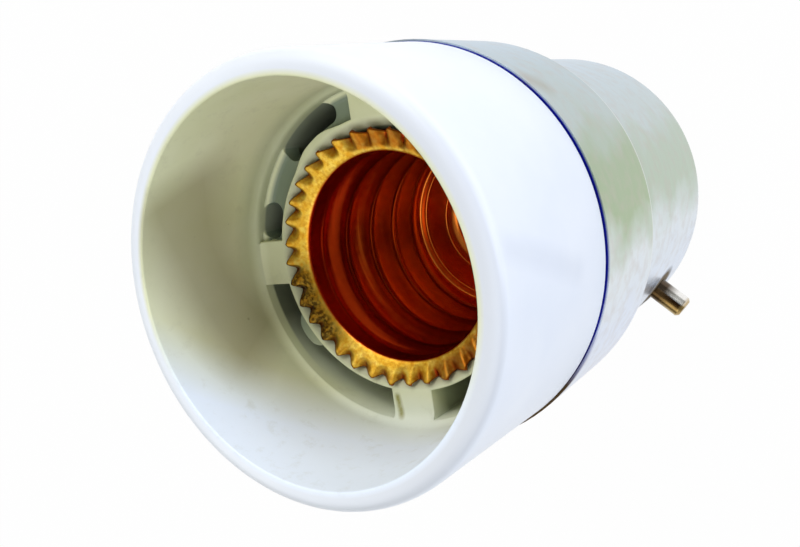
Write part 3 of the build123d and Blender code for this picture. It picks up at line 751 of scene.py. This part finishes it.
# %% White plastic, soot in the seam
seam_low = add_node(tree, "MapRange", {0: parts.outputs["Z"], 1: 26.13 * MM, 2: 26.09 * MM})
seam_out = add_node(tree, "MapRange", {0: radius, 1: 11.5 * MM, 2: 11.7 * MM})
seam = add_node(tree, "Math", {0: seam_low, 1: seam_out}, operation="MULTIPLY")
brown_end = add_node(tree, "MapRange", {0: toward_bright, 1: 4.5 * MM, 2: 8.0 * MM})
soot = add_node(tree, "Mix", {0: brown_end, 6: linear("#323fc0"), 7: linear("#4a3a26")}, data_type="RGBA")
sooty = add_node(tree, "Mix", {0: seam, 6: marked, 7: soot}, data_type="RGBA")
fill(tree, shader, {"Base Color": sooty})
print("with soot:", len(tree.nodes), "nodes")

# %% White plastic, gloss and grain
gloss = add_node(tree, "MapRange", {0: inner, 3: 0.38, 4: 0.5})
dull_seam = add_node(tree, "Math", {0: seam, 1: 0.5, 2: gloss}, operation="MULTIPLY_ADD")
fill(tree, shader, {"Roughness": dull_seam, "IOR": 1.5})
# The spark-eroded tool leaves a grain of about 0.05 mm; drawn at 0.3 mm so that it shows.
grain = add_node(tree, "TexNoise", {"Vector": place, "Scale": 1 / (0.3 * MM), "Detail": 2.0})
relief = add_node(tree, "Bump", {"Height": grain, "Strength": 0.15, "Distance": 0.01 * MM})
fill(tree, shader, {"Normal": relief})
print(plastic.name, "with", len(tree.nodes), "nodes")

# %% Moulding piece
make_piece("white_moulding", mould, [plastic], stands_for="body_moulding", sharp=35)

# %% [markdown]
# ## Bayonet cap
# The cap is drawn from aluminium sheet in two tiers, with a satin finish. Its solid from the CAD frame
# already has the right section, so it keeps its mesh and only gets its finish. Its colour is painted with the
# reflections that the metal shows: a cool grey on one side, an olive patch and a clean pale metal on the
# other side, so its tone is read from the angle round the axis, and a painted highlight runs along the
# shoulder. Dirt sits on its top edge, a stain and a painted reflection of each pin darken the cap round the
# pins, and one brown stain has crept out of the seam.

# %% Satin cap metal, painted reflections round the axis
def dress(names, material):
    """Give CAD nodes a finish; their meshes stay as they are."""
    for name in names:
        nodes_of_cad[name].data.materials.clear()
        nodes_of_cad[name].data.materials.append(material)
    print(material.name, "on", ", ".join(names))


# A satin metal gives the eye a broad soft shine, with the tone of whatever lies on it.
satin, tree, shader, place = new_material("drawn aluminium, satin finish")
parts = add_node(tree, "SeparateXYZ", {0: place})
cloud = add_node(tree, "TexNoise", {"Vector": place, "Scale": 1 / (3.0 * MM), "Detail": 5.0})
# The angle is measured from the middle of the painted olive reflection, so that it jumps only at the back.
OLIVE_REFLECTION_TURN = math.radians(235)
turned = add_node(tree, "Mapping", {"Vector": place, "Rotation": (0, 0, -OLIVE_REFLECTION_TURN)})
side = add_node(tree, "SeparateXYZ", {0: turned})
angle = add_node(tree, "Math", {0: side.outputs["Y"], 1: side.outputs["X"]}, operation="ARCTAN2")
turn_share = add_node(tree, "MapRange", {0: angle, 1: -math.pi, 2: math.pi, 3: -0.035, 4: 0.965})
uneven = add_node(tree, "Math", {0: cloud, 1: 0.07, 2: turn_share}, operation="MULTIPLY_ADD")
cap_painted_reflection = add_node(tree, "ValToRGB", {0: uneven},
                     stops=[(0.0, "#d8dce4"), (0.26, "#dbdee8"), (0.38, "#dce5f5"), (0.43, "#dfe6ea"),
                            (0.475, "#a8bb98"), (0.515, "#aabb9e"), (0.55, "#bdcac8"), (0.65, "#c0d2e0"),
                            (1.0, "#d8dce4")])
# The narrow tier takes only part of the painted reflection, mixed with a pale blue-grey.
narrow_tier = add_node(tree, "MapRange", {0: parts.outputs["Z"], 1: 17.6 * MM, 2: 16.8 * MM, 4: 0.3})
tier_tone = add_node(tree, "Mix", {0: narrow_tier, 6: cap_painted_reflection, 7: linear("#d8e2ea")}, data_type="RGBA")
# Handling leaves blotches of under a millimetre, a little darker and pinker than the metal.
blotch = add_node(tree, "TexNoise", {"Vector": place, "Scale": 1 / (0.8 * MM), "Detail": 3.0})
blotched = add_node(tree, "MapRange", {0: blotch, 1: 0.45, 2: 0.75, 4: 0.35})
tone = add_node(tree, "Mix", {0: blotched, 6: tier_tone, 7: linear("#c3b9b2")}, data_type="RGBA")
print("cap tone:", len(tree.nodes), "nodes")

# %% Satin cap metal, painted shoulder highlight, dirt and painted pin reflections
in_plan = add_node(tree, "VectorMath", {0: place, 1: (1, 1, 0)}, operation="MULTIPLY")
radius = add_node(tree, "VectorMath", {0: in_plan}, operation="LENGTH")
# A painted highlight runs along the shoulder's edge.
edge_low = add_node(tree, "MapRange", {0: parts.outputs["Z"], 1: 18.2 * MM, 2: 17.95 * MM, 4: 0.9})
edge_out = add_node(tree, "MapRange", {0: radius, 1: 11.3 * MM, 2: 11.5 * MM})
shoulder_painted_highlight = add_node(tree, "Math", {0: edge_low, 1: edge_out}, operation="MULTIPLY")
painted_light_mixed = add_node(tree, "Mix", {0: shoulder_painted_highlight, 6: tone, 7: linear("#f0f4f6")}, data_type="RGBA")
top_edge = add_node(tree, "MapRange", {0: parts.outputs["Z"], 1: 25.82 * MM, 2: 25.85 * MM})
edge_in = add_node(tree, "MapRange", {0: radius, 1: 12.13 * MM, 2: 12.07 * MM})
toward_brown = add_node(tree, "VectorMath", {0: place, 1: BRIGHT_SIDE}, operation="DOT_PRODUCT")
brown_end = add_node(tree, "MapRange", {0: toward_brown, 1: 4.5 * MM, 2: 8.0 * MM})
smear = add_node(tree, "MapRange", {0: parts.outputs["Z"], 1: 25.3 * MM, 2: 25.8 * MM, 4: brown_end})
edge_soot = add_node(tree, "Math", {0: top_edge, 1: edge_in}, operation="MULTIPLY")
soot_there = add_node(tree, "Math", {0: edge_soot, 1: smear}, operation="MAXIMUM")
soot = add_node(tree, "Mix", {0: brown_end, 6: linear("#323fc0"), 7: linear("#4a3a26")}, data_type="RGBA")
edged = add_node(tree, "Mix", {0: soot_there, 6: painted_light_mixed, 7: soot}, data_type="RGBA")
# A brown stain has crept out of the seam at one place.
stain = near_line(Vector((-0.6, -12.2, 25.3)), Vector((-1.4, -12.1, 24.3)), 0.1, 1.2, 0.9, 0.36)
stained = add_node(tree, "Mix", {0: stain, 6: edged, 7: linear("#a08a62")}, data_type="RGBA")
# Round each pin's root the cap is painted dark brown and matt, a stain together with a painted reflection of
# the pin.
PIN_PLACE = Vector((11.0, 0.0, 6.0))
both_sides = add_node(tree, "VectorMath", {0: place}, operation="ABSOLUTE")
pin_far = add_node(tree, "VectorMath", {0: both_sides, 1: PIN_PLACE * MM}, operation="DISTANCE")
pin_stain_and_reflection = add_node(tree, "MapRange", {0: pin_far, 1: 2.1 * MM, 2: 1.4 * MM, 4: 0.92})
pin_stained_and_reflected = add_node(tree, "Mix", {0: pin_stain_and_reflection, 6: stained, 7: linear("#6a5426")}, data_type="RGBA")
fill(tree, shader, {"Base Color": pin_stained_and_reflected})
bare_metal = add_node(tree, "Math", {0: 1.0, 1: pin_stain_and_reflection}, operation="SUBTRACT")
fill(tree, shader, {"Metallic": bare_metal})
# Drawing lines run round the cap about 0.02 mm apart; drawn at 0.12 mm so that they show.
round_the_cap = add_node(tree, "Mapping", {"Vector": place, "Scale": (60, 60, 1 / (0.12 * MM))})
lines = add_node(tree, "TexNoise", {"Vector": round_the_cap, "Scale": 1.0, "Detail": 2.0})
dull = add_node(tree, "MapRange", {0: lines, 3: 0.28, 4: 0.42})
matt = add_node(tree, "Math", {0: pin_stain_and_reflection, 1: 0.6, 2: dull}, operation="MULTIPLY_ADD", use_clamp=True)
fill(tree, shader, {"Roughness": matt})
drawn = add_node(tree, "Bump", {"Height": lines, "Strength": 0.12, "Distance": 0.01 * MM})
fill(tree, shader, {"Normal": drawn})
dress(["bayonet_cap"], satin)

# %% [markdown]
# ## Bayonet pins
# The pins are turned brass, nickel plated, and pressed through the cap. Their colour is painted with a
# highlight down one side and a dark brown, then golden-brown reflection round the other, and the root is
# darkened with painted shade and dirt. At the tip the plate is worn through to the brass.

# %% Pin metal
# A painted highlight beside a painted dark reflection gives the eye a hard line along the pin.
plated_pin, tree, shader, place = new_material("turned brass, nickel plated and browned on one side")
parts = add_node(tree, "SeparateXYZ", {0: place})
from_axis = add_node(tree, "VectorMath", {0: place, 1: Vector((0, 0, PIN_PLACE.z)) * MM},
                     operation="SUBTRACT")
DARK_REFLECTION_SIDE = Vector((0.0, 0.964, 0.265))
toward_dark_reflection = add_node(tree, "VectorMath", {0: from_axis, 1: DARK_REFLECTION_SIDE}, operation="DOT_PRODUCT")
round_pin = add_node(tree, "MapRange", {0: toward_dark_reflection, 1: -0.82 * MM, 2: 0.82 * MM})
pin_painted_reflection = add_node(tree, "ValToRGB", {0: round_pin},
                     stops=[(0.0, "#f4f3f0"), (0.38, "#faf8f4"), (0.45, "#2c1c10"), (0.56, "#3a2614"),
                            (0.68, "#7a6036"), (0.88, "#a08654"), (1.0, "#bfb596")])
# The root is darkened with painted shade and dirt.
reach = add_node(tree, "Math", {0: parts.outputs["X"]}, operation="ABSOLUTE")
root_shade_and_dirt = add_node(tree, "MapRange", {0: reach, 1: 12.5 * MM, 2: 11.6 * MM, 4: 0.95})
tone = add_node(tree, "Mix", {0: root_shade_and_dirt, 6: pin_painted_reflection, 7: linear("#4a3720")}, data_type="RGBA")
tip = add_node(tree, "MapRange", {0: reach, 1: 13.1 * MM, 2: 13.4 * MM, 4: 0.85})
tipped = add_node(tree, "Mix", {0: tip, 6: tone, 7: linear("#b89c62")}, data_type="RGBA")
fill(tree, shader, {"Base Color": tipped, "Metallic": 1.0})
wear = add_node(tree, "TexNoise", {"Vector": place, "Scale": 1 / (0.4 * MM), "Detail": 3.0})
rough = add_node(tree, "MapRange", {0: wear, 3: 0.18, 4: 0.32})
fill(tree, shader, {"Roughness": rough})
dress(["bayonet_pins"], plated_pin)

# %% [markdown]
# ## Inside and under the cap
# What the photograph hides still has a real finish: a sprung brass leaf and its rivet at the bottom of the
# screw shell, two brass eyelets set in black glass under the cap, solder over them, and two short leads of
# copper in woven sleeves. Brass, glass, solder, copper and sleeve each get a material, from one pattern at
# the size of its grain, lumps or weave, which drives its tone and its shine or relief together.

# %% Spring brass
# Rolling leaves fine lines along the leaf, and the eye sees its shine drawn out across them.
leaf_brass, tree, shader, place = new_material("rolled spring brass, lightly oxidised")
along = add_node(tree, "Mapping", {"Vector": place, "Scale": (1 / (2 * MM), 1 / (0.08 * MM), 1 / (0.5 * MM))})
rolling = add_node(tree, "TexNoise", {"Vector": along, "Scale": 1.0, "Detail": 3.0})
tone = add_node(tree, "ValToRGB", {0: rolling}, stops=[(0.3, "#b98a3a"), (0.7, "#dcb765")])
fill(tree, shader, {"Base Color": tone, "Metallic": 1.0})
rough = add_node(tree, "MapRange", {0: rolling, 3: 0.22, 4: 0.38})
fill(tree, shader, {"Roughness": rough})
dress(["centre_contact", "contact_rivet", "contact_plates"], leaf_brass)

# %% Black glass
# Pressed glass gives the eye a deep black and a sharp shine that ripples a little.
black_glass, tree, shader, place = new_material("pressed black glass")
smoke = add_node(tree, "TexNoise", {"Vector": place, "Scale": 1 / (1.5 * MM), "Detail": 4.0})
tone = add_node(tree, "ValToRGB", {0: smoke}, stops=[(0.35, "#0b0c10"), (0.7, "#1c1e26")])
fill(tree, shader, {"Base Color": tone, "IOR": 1.52})
rough = add_node(tree, "MapRange", {0: smoke, 3: 0.06, 4: 0.2})
fill(tree, shader, {"Roughness": rough})
ripple = add_node(tree, "Bump", {"Height": smoke, "Strength": 0.3, "Distance": 0.05 * MM})
fill(tree, shader, {"Normal": ripple})
dress(["cap_insulator"], black_glass)

# %% Solder
# Solder that set slowly gives the eye a lumpy grey shine with no clear reflection.
solder, tree, shader, place = new_material("tin solder, set dull")
lumps = add_node(tree, "TexNoise", {"Vector": place, "Scale": 1 / (0.6 * MM), "Detail": 4.0})
tone = add_node(tree, "ValToRGB", {0: lumps}, stops=[(0.3, "#9a9ca0"), (0.7, "#cfd1d4")])
fill(tree, shader, {"Base Color": tone, "Metallic": 1.0})
rough = add_node(tree, "MapRange", {0: lumps, 3: 0.25, 4: 0.5})
fill(tree, shader, {"Roughness": rough})
uneven = add_node(tree, "Bump", {"Height": lumps, "Strength": 0.4, "Distance": 0.08 * MM})
fill(tree, shader, {"Normal": uneven})
dress(["contact_solder", "shell_solder", "centre_solder"], solder)

# %% Copper and sleeve
# Drawn wire gives the eye a warm shine, uneven where the copper has oxidised.
copper, tree, shader, place = new_material("drawn copper wire")
drawing = add_node(tree, "TexNoise", {"Vector": place, "Scale": 1 / (0.3 * MM), "Detail": 3.0})
tone = add_node(tree, "ValToRGB", {0: drawing}, stops=[(0.3, "#b06a48"), (0.7, "#d99a78")])
fill(tree, shader, {"Base Color": tone, "Metallic": 1.0})
rough = add_node(tree, "MapRange", {0: drawing, 3: 0.25, 4: 0.4})
fill(tree, shader, {"Roughness": rough})
dress(["shell_lead_core", "centre_lead_core"], copper)

# Woven threads give the eye a pale matt surface with a fine net of shadows.
sleeving, tree, shader, place = new_material("woven glass-fibre sleeving")
weave = add_node(tree, "TexVoronoi", {"Vector": place, "Scale": 1 / (0.25 * MM)})
tone = add_node(tree, "ValToRGB", {0: weave}, stops=[(0.2, "#e6e0cf"), (0.8, "#b8b09a")])
fill(tree, shader, {"Base Color": tone, "Roughness": 0.7})
threads = add_node(tree, "Bump", {"Height": weave, "Strength": 0.5, "Distance": 0.05 * MM})
fill(tree, shader, {"Normal": threads})
dress(["shell_lead_sleeve", "centre_lead_sleeve"], sleeving)

# %% [markdown]
# ## Finish
# The view transform is set to Standard, and the view layer is brought up to date.

# %% Finish
scene.view_settings.view_transform = "Standard"
bpy.context.view_layer.update()
